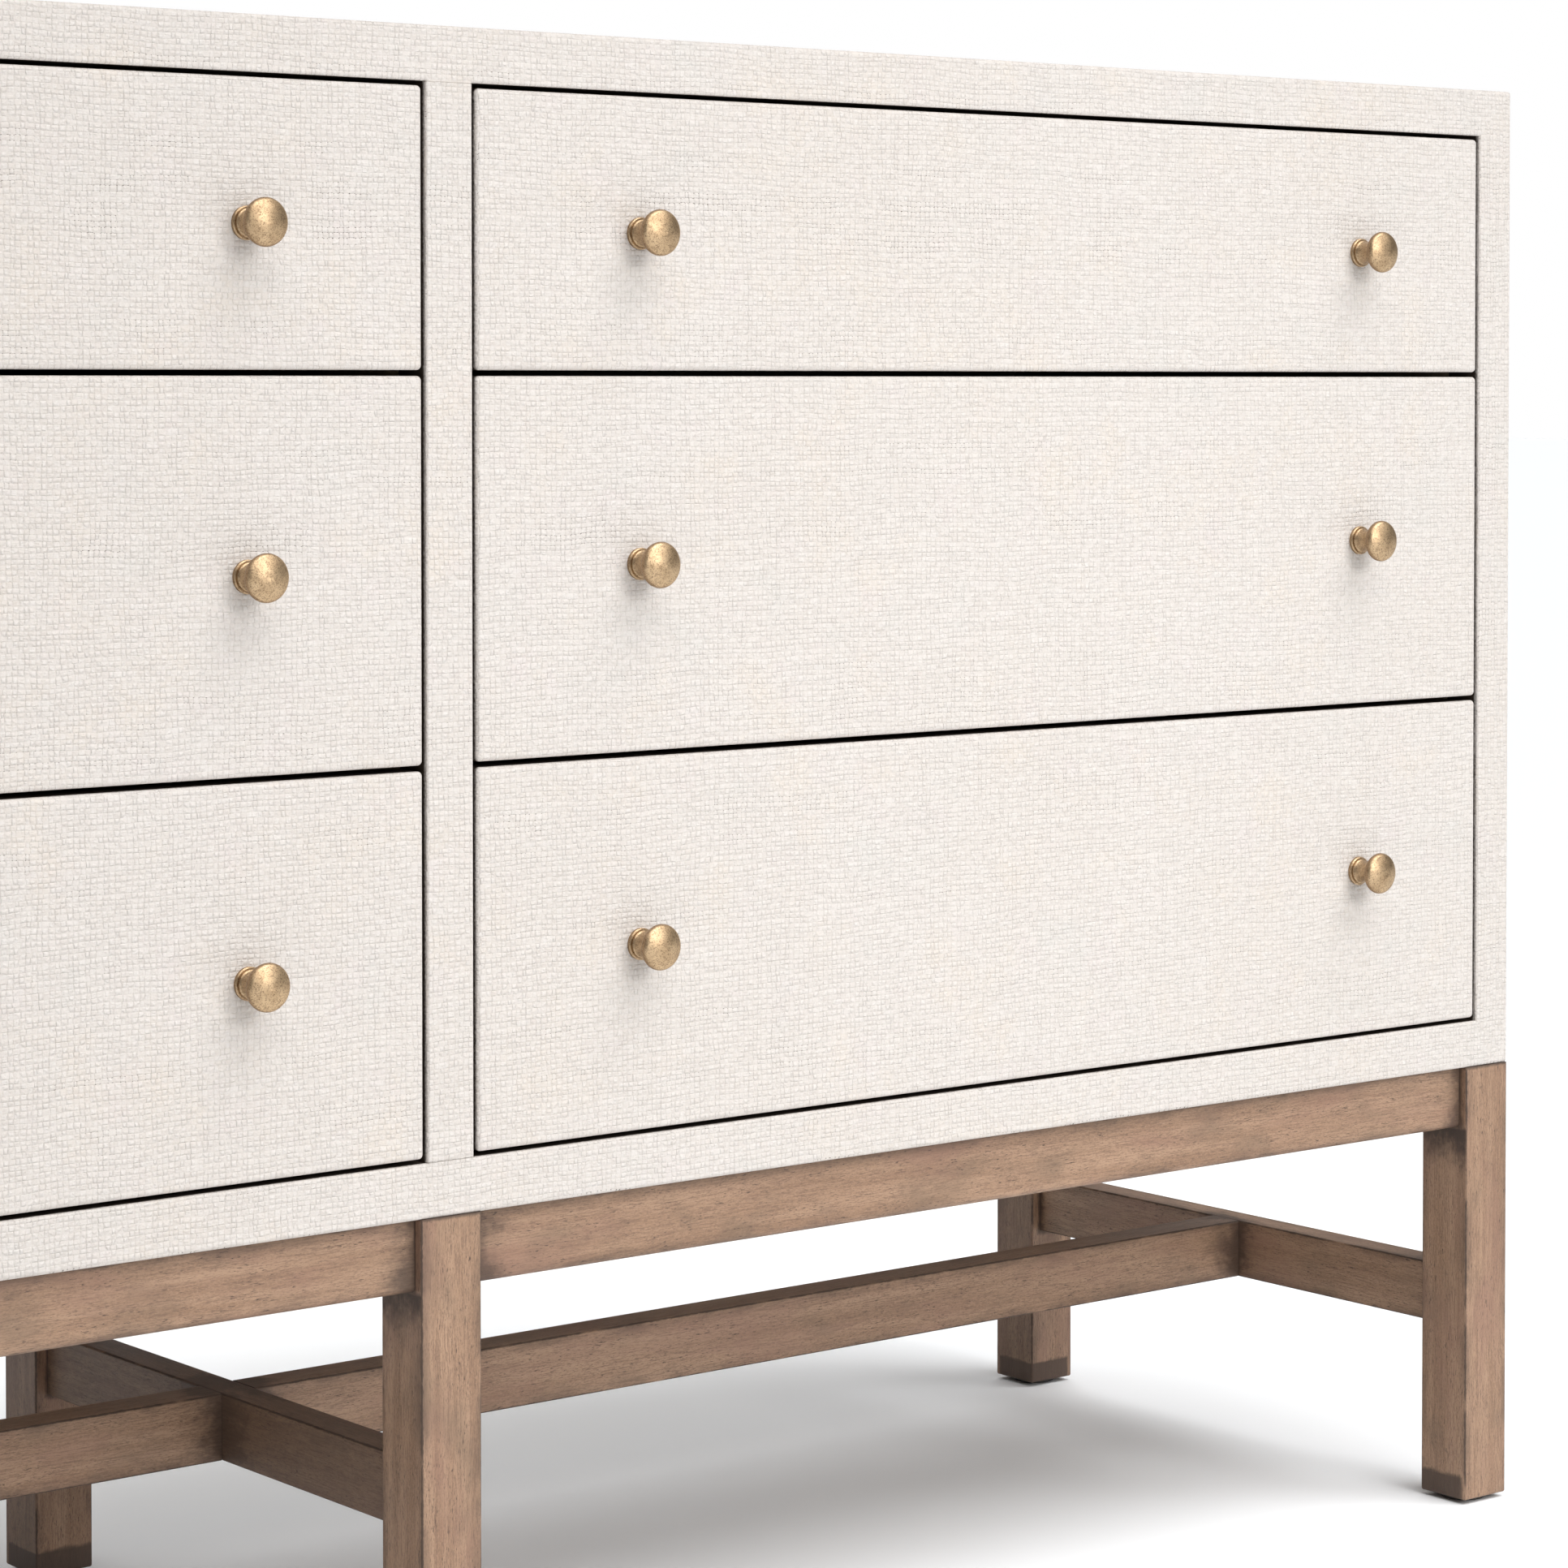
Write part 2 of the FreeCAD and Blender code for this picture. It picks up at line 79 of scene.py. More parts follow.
# painted shade for the sides of the knob heads
BRASS_RIM_SHADE = (0.165, 0.098, 0.056)
ZINC_DARK, ZINC_LIGHT = (0.50, 0.52, 0.55), (0.66, 0.66, 0.65)
ZINC_ROLLED = (0.36, 0.37, 0.39)
GLIDE_DARK, GLIDE_LIGHT = (0.026, 0.024, 0.022), (0.062, 0.056, 0.050)
FLOOR_DARK, FLOOR_LIGHT = (0.928, 0.944, 0.958), (0.938, 0.954, 0.968)
AMBIENT_COLOUR = (0.98, 0.99, 1.0, 1.0)
BACKDROP_COLOUR = (1.0, 1.0, 1.0, 1.0)

# ---- how far glaze and painted shade reach from a neighbouring piece, in millimetres ----
LEG_FROM_APRON = 5.0
LEG_BELOW_APRON = 38.0      # painted shade below the apron, on the side faces only
LEG_FROM_STRETCHER = 4.0
LEG_FROM_CASE = 2.5
LEG_FROM_GLIDE = 3.5
APRON_FROM_LEG = 25.0
APRON_FROM_CASE = 3.0
LONG_FROM_CROSS = 34.0
CROSS_FROM_LONG = {"left": 20.0, "middle": 80.0, "right": 20.0}
CROSS_FROM_LEG = 8.0

# ---- faces given painted shade: (axis number, amount) ----
REAR_LEG_SIDE_SHADE = ((0, 0.40),)
LONG_STRETCHER_SHADE = ((2, 0.34),)
MIDDLE_CROSS_SHADE = ((0, 0.56), (2, 0.52))


# ---------------------------------------------------------------- node trees
class Tree:
    """A material's node tree, with short calls for the nodes the materials use."""

    def __init__(self, name):
        self.material = bpy.data.materials.new(name)
        self.material.use_nodes = True
        self.tree = self.material.node_tree
        self.tree.nodes.clear()
        self.shader = self.node("ShaderNodeBsdfPrincipled")
        out = self.node("ShaderNodeOutputMaterial")
        self.link(self.shader.outputs[0], out.inputs["Surface"])
        self.coords = self.node("ShaderNodeTexCoord")

    def node(self, kind, **settings):
        made = self.tree.nodes.new(kind)
        for key, value in settings.items():
            setattr(made, key, value)
        return made

    def link(self, a, b):
        self.tree.links.new(a, b)

    def put(self, value, socket):
        if isinstance(value, bpy.types.NodeSocket):
            self.link(value, socket)
        else:
            socket.default_value = value

    def math(self, operation, *values, clamp=False):
        made = self.node("ShaderNodeMath", operation=operation, use_clamp=clamp)
        for value, socket in zip(values, made.inputs):
            self.put(value, socket)
        return made.outputs[0]

    def add(self, a, b):
        return self.math("ADD", a, b)

    def sub(self, a, b):
        return self.math("SUBTRACT", a, b)

    def mul(self, a, b):
        return self.math("MULTIPLY", a, b)

    def fma(self, a, b, c):
        return self.math("MULTIPLY_ADD", a, b, c)

    def smooth(self, value, low, high):
        """0 at low, 1 at high, smooth between. low may be the larger of the two."""
        made = self.node("ShaderNodeMapRange", interpolation_type="SMOOTHSTEP")
        self.put(value, made.inputs["Value"])
        flip = high < low
        made.inputs["From Min"].default_value = min(low, high)
        made.inputs["From Max"].default_value = max(low, high)
        made.inputs["To Min"].default_value = 1.0 if flip else 0.0
        made.inputs["To Max"].default_value = 0.0 if flip else 1.0
        return made.outputs[0]

    def split(self, vector):
        made = self.node("ShaderNodeSeparateXYZ")
        self.link(vector, made.inputs[0])
        return made.outputs[0], made.outputs[1], made.outputs[2]

    def join(self, x, y, z):
        made = self.node("ShaderNodeCombineXYZ")
        for value, socket in zip((x, y, z), made.inputs):
            self.put(value, socket)
        return made.outputs[0]

    def noise(self, vector, scale=1.0, detail=2.0, rough=0.5, lacunarity=2.0):
        made = self.node("ShaderNodeTexNoise")
        self.link(vector, made.inputs["Vector"])
        made.inputs["Scale"].default_value = scale
        made.inputs["Detail"].default_value = detail
        made.inputs["Roughness"].default_value = rough
        made.inputs["Lacunarity"].default_value = lacunarity
        return made.outputs["Fac"]

    def white(self, vector):
        made = self.node("ShaderNodeTexWhiteNoise", noise_dimensions="3D")
        self.link(vector, made.inputs["Vector"])
        return made.outputs["Value"]

    def mix(self, factor, a, b, blend="MIX"):
        made = self.node("ShaderNodeMix", data_type="RGBA", blend_type=blend)
        made.clamp_factor = True
        self.put(factor, made.inputs[0])
        self.put(a if isinstance(a, bpy.types.NodeSocket) else (*a, 1.0), made.inputs[6])
        self.put(b if isinstance(b, bpy.types.NodeSocket) else (*b, 1.0), made.inputs[7])
        return made.outputs[2]

    def tints(self, colour, rows):
        """Mixes tints in. Each row: a value, where the tint starts, where it is full, how much, tint."""
        for value, start, full, much, tint in rows:
            colour = self.mix(self.mul(self.smooth(value, start, full), much), colour, tint)
        return colour

    def blend(self, factor, a, b):
        """A number from a to b."""
        made = self.node("ShaderNodeMix", data_type="FLOAT")
        made.clamp_factor = True
        self.put(factor, made.inputs[0])
        self.put(a, made.inputs[2])
        self.put(b, made.inputs[3])
        return made.outputs[0]

    def within(self, value, low, high):
        """1 between low and high, 0 elsewhere."""
        above = self.math("GREATER_THAN", value, low)
        return self.mul(above, self.math("LESS_THAN", value, high))

    def size(self, value):
        return self.math("ABSOLUTE", value)

    def bump(self, height, distance, strength=1.0):
        made = self.node("ShaderNodeBump")
        made.inputs["Strength"].default_value = strength
        made.inputs["Distance"].default_value = distance
        self.link(height, made.inputs["Height"])
        self.link(made.outputs[0], self.shader.inputs["Normal"])

    def outside(self, vector, low, high):
        """How far a place is outside the box from low to high."""
        under = self.node("ShaderNodeVectorMath", operation="SUBTRACT")
        under.inputs[0].default_value = low
        self.link(vector, under.inputs[1])
        over = self.node("ShaderNodeVectorMath", operation="SUBTRACT")
        self.link(vector, over.inputs[0])
        over.inputs[1].default_value = high
        past = self.node("ShaderNodeVectorMath", operation="MAXIMUM")
        self.link(under.outputs[0], past.inputs[0])
        self.link(over.outputs[0], past.inputs[1])
        only = self.node("ShaderNodeVectorMath", operation="MAXIMUM")
        self.link(past.outputs[0], only.inputs[0])
        far = self.node("ShaderNodeVectorMath", operation="LENGTH")
        self.link(only.outputs[0], far.inputs[0])
        return far.outputs["Value"]

    def place(self):
        """X, Y and Z in the object's own frame, in millimetres."""
        scaled = self.node("ShaderNodeVectorMath", operation="SCALE")
        self.link(self.coords.outputs["Object"], scaled.inputs[0])
        scaled.inputs["Scale"].default_value = MM
        return self.split(scaled.outputs[0])

    def facing(self):
        """How far the surface faces X, Y and Z, signed."""
        return self.split(self.coords.outputs["Normal"])

    def finish(self, colour, roughness, **constants):
        self.put(colour, self.shader.inputs["Base Color"])
        self.put(roughness, self.shader.inputs["Roughness"])
        for name, value in constants.items():
            self.shader.inputs[name.replace("_", " ")].default_value = value
        return self.material


def board_colour(t, x, y, z, along):
    """Pale lacquered poplar, for the boards inside: gives colour, roughness and height. along is the axis
    of the grain."""
    stretch = {"x": (0.012, 0.5, 0.5), "y": (0.5, 0.012, 0.5), "z": (0.5, 0.5, 0.012)}[along]
    p = t.join(t.mul(x, stretch[0]), t.mul(y, stretch[1]), t.mul(z, stretch[2]))
    bands = t.noise(p, 0.16, 2, 0.5)
    streaks = t.noise(p, 1.6, 4, 0.6)
    colour = t.mix(t.smooth(bands, 0.3, 0.7), POPLAR_DARK, POPLAR_LIGHT)
    colour = t.mix(t.mul(t.smooth(streaks, 0.5, 0.72), 0.5), colour, POPLAR_STREAK)
    return colour, t.fma(streaks, 0.16, 0.38), streaks


# ---------------------------------------------------------------- raffia
def raffia(name, turned=False, inside=None, rear_is_board=False, seam_lines=()):
    """Woven raffia over board. turned runs the weft up instead of across. inside is the box (low, high)
    of the case's bare interior. seam_lines are the heights where two pieces of covering meet."""
    t = Tree(name)
    x, y, z = t.place()
    nx, ny, _ = t.facing()
    on_side = t.math("GREATER_THAN", t.size(nx), FACE_TURN)
    u = t.fma(on_side, y, x)
    v = t.fma(t.sub(1.0, on_side), y, z)
    if turned:
        u, v = v, u

    # threads wander, and differ in width
    wander_u = t.noise(t.join(u, v, on_side), 1 / 48, 2)
    wander_v = t.noise(t.join(v, u, 7.0), 1 / 48, 2)
    thread_u = t.noise(t.join(t.mul(u, 1 / 5.5), t.mul(v, 1 / 60), 3.0), 1.0, 1)
    thread_v = t.noise(t.join(t.mul(v, 1 / 6.5), t.mul(u, 1 / 70), 5.0), 1.0, 1)
    wu = t.add(t.fma(t.sub(wander_u, 0.5), 5.0, u), t.mul(t.sub(thread_u, 0.5), 3.4))
    wv = t.add(t.fma(t.sub(wander_v, 0.5), 4.0, v), t.mul(t.sub(thread_v, 0.5), 2.6))

    row = t.mul(wv, 1 / ROW_HIGH)
    row_number = t.math("FLOOR", row)
    in_row = t.math("FRACT", row)
    odd = t.math("PINGPONG", row_number, 1.0)
    tile = t.fma(odd, 0.5, t.mul(wu, 1 / TILE_WIDE))
    tile_number = t.math("FLOOR", tile)
    in_tile = t.math("FRACT", tile)
    chance = t.white(t.join(tile_number, row_number, on_side))
    chance2 = t.white(t.join(row_number, tile_number, 11.0))
    row_chance = t.white(t.join(row_number, 4.0, on_side))

    # each float is a rounded pad: weft floats lie across, warp floats stand between them
    shift = t.mul(t.sub(t.white(t.join(row_number, tile_number, 5.0)), 0.5), 0.10)
    across = t.size(t.fma(t.add(in_tile, shift), 2.0, -1.0))
    across = t.math("MINIMUM", across, t.sub(2.0, across))  # 0 at a weft float's middle, 1 between two
    up = t.size(t.fma(in_row, 2.0, -1.0))                   # 0 at a row's middle, 1 between rows
    up_round = t.fma(t.math("POWER", up, 2.4), -0.74, 1.0)
    share = t.fma(chance2, 0.16, 0.51)                      # of the row that the weft float takes
    reach = t.math("DIVIDE", across, share)
    weft = t.mul(t.sub(1.0, t.math("POWER", reach, 2.8)), up_round)
    weft = t.mul(t.math("MAXIMUM", weft, 0.0), 0.9)
    warp_across = t.math("DIVIDE", t.sub(1.0, across), t.sub(1.0, share))
    warp = t.fma(t.math("POWER", warp_across, 2.6), -0.74, 1.0)
    warp = t.mul(t.math("MAXIMUM", warp, 0.0), t.fma(t.math("POWER", up, 2.6), -0.75, 1.0))
    height = t.math("MAXIMUM", weft, warp)
    fibres = t.noise(t.join(t.mul(wu, 0.24), t.mul(wv, 2.4), 2.0), 1.0, 3, 0.6)
    lean = t.mul(t.sub(chance, 0.5), 0.20)
    broken = t.noise(t.join(t.mul(u, 1 / 5), t.mul(v, 1 / 4), 61.0), 1.0, 2, 0.6)
    drawn = t.smooth(broken, 0.36, 0.62)
    relief = t.add(t.fma(fibres, 0.40, t.mul(height, t.fma(drawn, 0.65, 0.35))), lean)

    # rows where the mesh is open, with a pinhole beside each thread
    open_rows = t.mul(t.math("GREATER_THAN", row_chance, 0.80), t.smooth(wander_u, 0.46, 0.60))
    beside = t.smooth(t.size(t.sub(across, t.add(share, 0.03))), 0.15, 0.04)
    pinhole = t.mul(open_rows, t.mul(t.smooth(up, 0.72, 0.95), beside))
    gap = t.mul(t.smooth(height, 0.26, 0.04), drawn)
    specks = t.noise(t.join(t.mul(u, 1.1), t.mul(v, 1.1), 71.0), 1.0, 1)

    # colour: each float a little different, broad warm, pink and grey-green clouds
    clouds = t.noise(t.join(u, v, 21.0), 1 / 42, 3, 0.6)
    clouds2 = t.noise(t.join(v, u, 33.0), 1 / 30, 3, 0.6)
    broad = t.noise(t.join(u, v, 45.0), 1 / 190, 2, 0.5)
    colour = t.mix(chance, RAFFIA_DARK, RAFFIA_LIGHT)
    colour = t.tints(colour, (
        (clouds, 0.50, 0.75, 0.55, (0.659, 0.588, 0.518)),   # straw clouds
        (clouds2, 0.52, 0.78, 0.45, (0.645, 0.576, 0.561)),  # pink clouds
        (clouds, 0.45, 0.22, 0.45, (0.587, 0.568, 0.537)),   # grey-green clouds
        (broad, 0.35, 0.7, 0.25, (0.609, 0.551, 0.497)),     # broad tan areas
        (warp, 0.3, 0.9, 0.45, (0.676, 0.638, 0.608)),       # warp floats are paler
    ))
    # painted shade in the pits between floats, darker where the weave is lowest
    colour = t.mix(t.mul(gap, 0.60), colour, RAFFIA_PIT_SHADE)
    colour = t.tints(colour, (
        (specks, 0.58, 0.74, 0.34, (0.741, 0.710, 0.684)),  # pale specks
        (specks, 0.40, 0.26, 0.36, (0.504, 0.456, 0.411)),  # dark specks
    ))
    colour = t.mix(pinhole, colour, RAFFIA_HOLE)
    colour = t.mix(t.mul(t.smooth(chance2, 0.90, 0.99), 0.22), colour, RAFFIA_BLEACHED)
    for at, half in seam_lines:
        wavy = t.fma(t.sub(t.noise(t.join(x, 0.0, 0.0), 0.25, 3), 0.5), 1.4, z)
        line = t.smooth(t.size(t.sub(wavy, at)), half * 2.2, half * 0.5)
        colour = t.mix(t.mul(line, 0.5), colour, RAFFIA_SEAM)
        relief = t.sub(relief, t.mul(line, 0.9))
    roughness = t.fma(chance2, -0.14, t.fma(fibres, 0.12, 0.56))

    # painted shade: from just behind the front, the edges inside the gaps round the drawers are painted
    # nearly black, as the narrow gaps would be in shade
    deep = t.smooth(t.fma(t.noise(t.join(u, v, z), 0.4, 2), 2.0, t.sub(y, FRONT_PLANE)), 2.8, 5.0)
    edge = t.mul(deep, t.math("LESS_THAN", t.size(ny), 0.6))
    if inside:
        (x0, y0, z0), (x1, _, z1) = inside
        interior = t.mul(t.within(x, x0, x1), t.within(z, z0, z1))
        edge = t.mul(edge, interior)
    # the painted shade inside the gaps
    gap_shade = t.mix(fibres, GAP_SHADE_DARK, GAP_SHADE_LIGHT)
    colour = t.mix(edge, colour, gap_shade)
    relief = t.blend(edge, relief, t.mul(fibres, 0.2))

    if inside or rear_is_board:
        along = "x" if rear_is_board else "y"
        bare_colour, bare_rough, bare_relief = board_colour(t, x, y, z, along)
        if rear_is_board:
            bare = t.math("GREATER_THAN", ny, 0.6)
        else:
            bare = t.mul(t.math("GREATER_THAN", y, y0), interior)
        colour = t.mix(bare, colour, bare_colour)
        roughness = t.blend(bare, roughness, bare_rough)
        relief = t.blend(bare, relief, t.mul(bare_relief, 0.15))
    t.bump(relief, RAFFIA_DEPTH)
    return t.finish(colour, roughness, Specular_IOR_Level=0.30)


# ---------------------------------------------------------------- base wood
def base_wood(name, low, high, along, meets=(), darker=()):
    """Stained wood with a darker glaze. low and high are the piece's corners in millimetres and along is
    the axis of its grain. meets are the boxes of the pieces beside it, as (low, high, reach, side_only):
    glaze and painted shade lie on this piece up to about that far from them, or, with side_only, so far
    below them on its side faces. darker are the faces given painted shade, as (axis number, amount)."""
    t = Tree(name)
    xyz = t.place()
    here = t.join(*xyz)
    index = "xyz".index(along)
    others = [i for i in range(3) if i != index]
    length = xyz[index]
    a, b = xyz[others[0]], xyz[others[1]]
    seed = sum(low) * 0.37 + sum(high) * 0.11
    own = t.add(length, seed * 13.0 % 977.0)
    wobble = t.noise(t.join(t.mul(own, 1 / 90), t.mul(a, 1 / 60), t.mul(b, 1 / 60)), 1.0, 2)
    ga = t.fma(wobble, 5.0, t.add(a, seed % 89.0))
    gb = t.fma(wobble, 3.0, b)

    def stretched(long, wide, p, q):
        return t.join(t.mul(own, 1 / long), t.mul(p, 1 / wide), t.mul(q, 1 / wide))

    def grain(long, wide, detail=2, rough=0.55):
        return t.noise(stretched(long, wide, ga, gb), 1.0, detail, rough)

    bands = grain(190, 9.0, 3)
    streaks = grain(15, 1.0, 3, 0.65)
    fine = grain(3.4, 0.50, 2, 0.6)
    pores = grain(4.2, 0.60, 2)
    clumps = grain(30, 10, 2)
    mottle = t.noise(t.join(t.mul(own, 1 / 1.6), a, b), 1.0, 3, 0.7)
    blotch = t.noise(stretched(50, 30, a, b), 1.0, 3, 0.6)
    blotch2 = t.noise(stretched(110, 30, b, a), 1.0, 3, 0.6)

    colour = t.mix(t.smooth(bands, 0.28, 0.72), WOOD_DARK, WOOD_LIGHT)
    colour = t.tints(colour, (
        (streaks, 0.46, 0.68, 0.58, (0.166, 0.096, 0.065)),  # dark streaks
        (streaks, 0.46, 0.26, 0.45, (0.375, 0.241, 0.162)),  # pale streaks
        (fine, 0.48, 0.70, 0.52, (0.125, 0.074, 0.052)),     # fine grain lines
        (mottle, 0.50, 0.30, 0.40, (0.402, 0.260, 0.177)),   # pale mottle
        (mottle, 0.54, 0.72, 0.45, (0.134, 0.082, 0.061)),   # dark mottle
        (blotch, 0.48, 0.74, 0.50, (0.157, 0.106, 0.070)),   # smoky blotches
        (blotch2, 0.46, 0.72, 0.50, (0.259, 0.141, 0.102)),  # reddish blotches
    ))
    pore = t.mul(t.smooth(pores, 0.61, 0.69), t.smooth(clumps, 0.38, 0.56))
    colour = t.mix(t.mul(pore, 0.82), colour, WOOD_PORE)

    # glaze: left in a thin line along each long edge and at the joints where other pieces meet this one;
    # further from a joint, and on the faces that darker names, the darkening is painted shade
    def inset(value, i):
        return t.math("MINIMUM", t.sub(value, low[i]), t.sub(high[i], value))

    edge = t.math("MAXIMUM", inset(a, others[0]), inset(b, others[1]))
    ragged = t.noise(stretched(5, 3, a, b), 1.0, 3, 0.6)
    broken = t.noise(stretched(38, 24, a, b), 1.0, 2, 0.6)
    edge_at = t.fma(ragged, -1.4, edge)
    line = t.mul(t.smooth(edge_at, 0.7, 0.0), t.smooth(broken, 0.28, 0.46))
    soft = t.mul(t.smooth(edge_at, 7.0, 0.3), t.smooth(broken, 0.30, 0.66))
    glaze_and_shade = t.math("MAXIMUM", t.mul(line, 0.94), t.mul(soft, 0.46))
    for box_low, box_high, reach, side_only in meets:
        distance = t.outside(here, box_low, box_high)
        drift = t.fma(t.sub(broken, 0.5), reach * (0.9 if side_only else 1.8), distance)
        worn = t.fma(t.sub(ragged, 0.5), reach * 0.7, drift)
        # glaze and painted shade fade out over reach from the neighbour
        near = t.math("POWER", t.smooth(worn, reach, 0.0), 1.3)
        # with side_only: painted shade on the side faces, below the neighbour only
        if side_only:
            joint_glaze_and_shade = t.mul(near, t.smooth(t.size(t.facing()[0]), 0.3, 0.7))
            joint_glaze_and_shade = t.mul(joint_glaze_and_shade, t.smooth(xyz[2], box_low[2] + 2.0, box_low[2] - 2.0))
        else:
            tight = t.smooth(t.fma(ragged, 1.5, distance), 2.8, 0.9)
            joint_glaze_and_shade = t.math("MAXIMUM", t.mul(near, 0.80), t.mul(tight, 0.88))
        glaze_and_shade = t.math("MAXIMUM", glaze_and_shade, joint_glaze_and_shade)
    # painted shade on whole faces turned along the given axis
    for axis, amount in darker:
        turned_so = t.smooth(t.size(t.facing()[axis]), 0.3, 0.7)
        glaze_and_shade = t.math("MAXIMUM", glaze_and_shade, t.mul(turned_so, t.fma(ragged, 0.2, amount - 0.1)))
    colour = t.mix(glaze_and_shade, colour, GLAZE_AND_SHADE)
    roughness = t.add(t.fma(streaks, 0.14, 0.40), t.mul(glaze_and_shade, 0.12))
    relief = t.sub(t.fma(fine, 0.25, t.mul(streaks, 0.5)), pore)
    t.bump(relief, 0.00010, 0.7)
    return t.finish(colour, roughness, Specular_IOR_Level=0.42)


# ---------------------------------------------------------------- the other finishes
def box_wood(name):
    """The drawer boxes. The grain runs back in the sides and the bottom, and across in the front and back
    walls."""
    t = Tree(name)
    x, y, z = t.place()
    colour, roughness, relief = board_colour(t, x, y, z, "y")
    wall_colour, wall_rough, wall_relief = board_colour(t, x, y, z, "x")
    wall = t.math("GREATER_THAN", t.size(t.facing()[1]), FACE_TURN)
    colour = t.mix(wall, colour, wall_colour)
    roughness = t.blend(wall, roughness, wall_rough)
    relief = t.blend(wall, relief, wall_relief)
    t.bump(relief, 0.00006, 0.6)
    return t.finish(colour, roughness, Specular_IOR_Level=0.45)


def back_board():
    t = Tree("back_board")
    x, y, z = t.place()
    bands = t.noise(t.join(t.mul(x, 1 / 600), 0.0, t.mul(z, 1 / 46)), 1.0, 3, 0.6)
    streaks = t.noise(t.join(t.mul(x, 1 / 40), t.mul(y, 0.02), t.mul(z, 1 / 3.0)), 1.0, 4, 0.6)
    pores = t.noise(t.join(t.mul(x, 1 / 6), 0.0, t.mul(z, 1 / 0.6)), 1.0, 2, 0.5)
    colour = t.mix(t.smooth(bands, 0.3, 0.7), BACK_DARK, BACK_LIGHT)
    colour = t.tints(colour, (
        (streaks, 0.48, 0.66, 0.75, (0.300, 0.216, 0.148)),  # streaks
        (pores, 0.60, 0.70, 0.60, (0.200, 0.138, 0.092)),    # pores
    ))
    t.bump(t.sub(streaks, pores), 0.00008, 0.6)
    return t.finish(colour, t.fma(streaks, 0.12, 0.58), Specular_IOR_Level=0.35)


def antique_brass():
    t = Tree("antique_brass")
    x, y, z = t.place()
    p = t.join(x, y, z)
    speckle = t.noise(p, 1.35, 3, 0.7)
    speckle2 = t.noise(p, 0.75, 3, 0.6)
    patches = t.noise(p, 0.16, 2, 0.5)
    out = t.sub(FRONT_PLANE, y)                     # from the drawer front, outward
    neck = t.smooth(out, 10.5, 5.0)
    colour = t.mix(t.smooth(patches, 0.3, 0.7), BRASS_DARK, BRASS_LIGHT)
    colour = t.tints(colour, (
        (speckle, 0.53, 0.61, 0.66, (0.130, 0.076, 0.042)),   # dark specks
        (speckle2, 0.52, 0.64, 0.50, (0.245, 0.155, 0.090)),  # brown specks
    ))
    colour = t.mix(t.mul(neck, 0.22), colour, BRASS_NECK)
    # painted shade: the head's sides, turned away from the front, are darkened
    rim = t.smooth(t.size(t.facing()[1]), 0.80, 0.25)
    colour = t.mix(t.mul(t.mul(rim, t.smooth(out, 12.0, 14.0)), 0.45), colour, BRASS_RIM_SHADE)
    roughness = t.fma(speckle, 0.25, 0.32)
    t.bump(speckle, 0.00005, 0.5)
    return t.finish(colour, roughness, Metallic=1.0)


def zinc_steel():
    t = Tree("zinc_steel")
    x, y, z = t.place()
    rolled = t.noise(t.join(t.mul(x, 1.2), t.mul(y, 0.03), t.mul(z, 1.2)), 1.0, 3, 0.6)
    spangle = t.noise(t.join(x, y, z), 0.09, 2, 0.5)
    colour = t.mix(t.smooth(spangle, 0.35, 0.65), ZINC_DARK, ZINC_LIGHT)
    colour = t.mix(t.mul(rolled, 0.3), colour, ZINC_ROLLED)
    t.bump(rolled, 0.00002, 0.5)
    return t.finish(colour, t.fma(rolled, 0.2, 0.24), Metallic=1.0)


def dark_glide():
    t = Tree("dark_glide")
    p = t.join(*t.place())
    grain = t.noise(p, 1.6, 3, 0.6)
    colour = t.mix(grain, GLIDE_DARK, GLIDE_LIGHT)
    t.bump(grain, 0.00010, 0.6)
    return t.finish(colour, t.fma(grain, 0.2, 0.5))


def millimetres(node):
    low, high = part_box(node)
    return [c * MM for c in low], [c * MM for c in high]


def wear(node, material):
    """The CAD node keeps its shape and takes this material."""
    for socket in nodes[node].material_slots:
        socket.material = material


top_low, top_high = millimetres("top_panel")
_, bottom_high = millimetres("bottom_panel")
side_low, _ = millimetres("right_side_panel")
divider_low, divider_high = millimetres("centre_divider")
FRONT_PLANE = top_low[1]
case_inside = (
    (-side_low[0] - PAST_FACE, FRONT_PLANE + TURNED_IN, bottom_high[2] - PAST_FACE),
    (side_low[0] + PAST_FACE, top_high[1], top_low[2] + PAST_FACE),
)

across_board = raffia("raffia_board", inside=case_inside)
upright_board = raffia("raffia_upright", turned=True, inside=case_inside)
divider_board = raffia(
    "raffia_divider",
    inside=case_inside,
    seam_lines=[(divider_low[2], SEAM_HALF), (divider_high[2], SEAM_HALF)],
)
drawer_raffia = raffia("raffia_drawer", rear_is_board=True)
for node in ("top_panel", "bottom_panel"):
    wear(node, across_board)
for node in ("left_side_panel", "right_side_panel"):
    wear(node, upright_board)
wear("centre_divider", divider_board)
wear("back_panel", back_board())

brass = antique_brass()
steel = zinc_steel()
box_boards = box_wood("drawer_box_wood")
for node in nodes:
    if node.endswith("_front") and node.startswith("drawer_"):
        wear(node, drawer_raffia)
    elif node.endswith("_box"):
        wear(node, box_boards)
    elif node.endswith("_knobs"):
        wear(node, brass)
    elif "slide" in node:
        wear(node, steel)
wear("base_screws", steel)
wear("foot_glides", dark_glide())


def meeting(reach, *names, side_only=False):
    """The boxes of neighbouring pieces, each with how far glaze and painted shade reach from it."""
    return [(*millimetres(name), reach, side_only) for name in names]


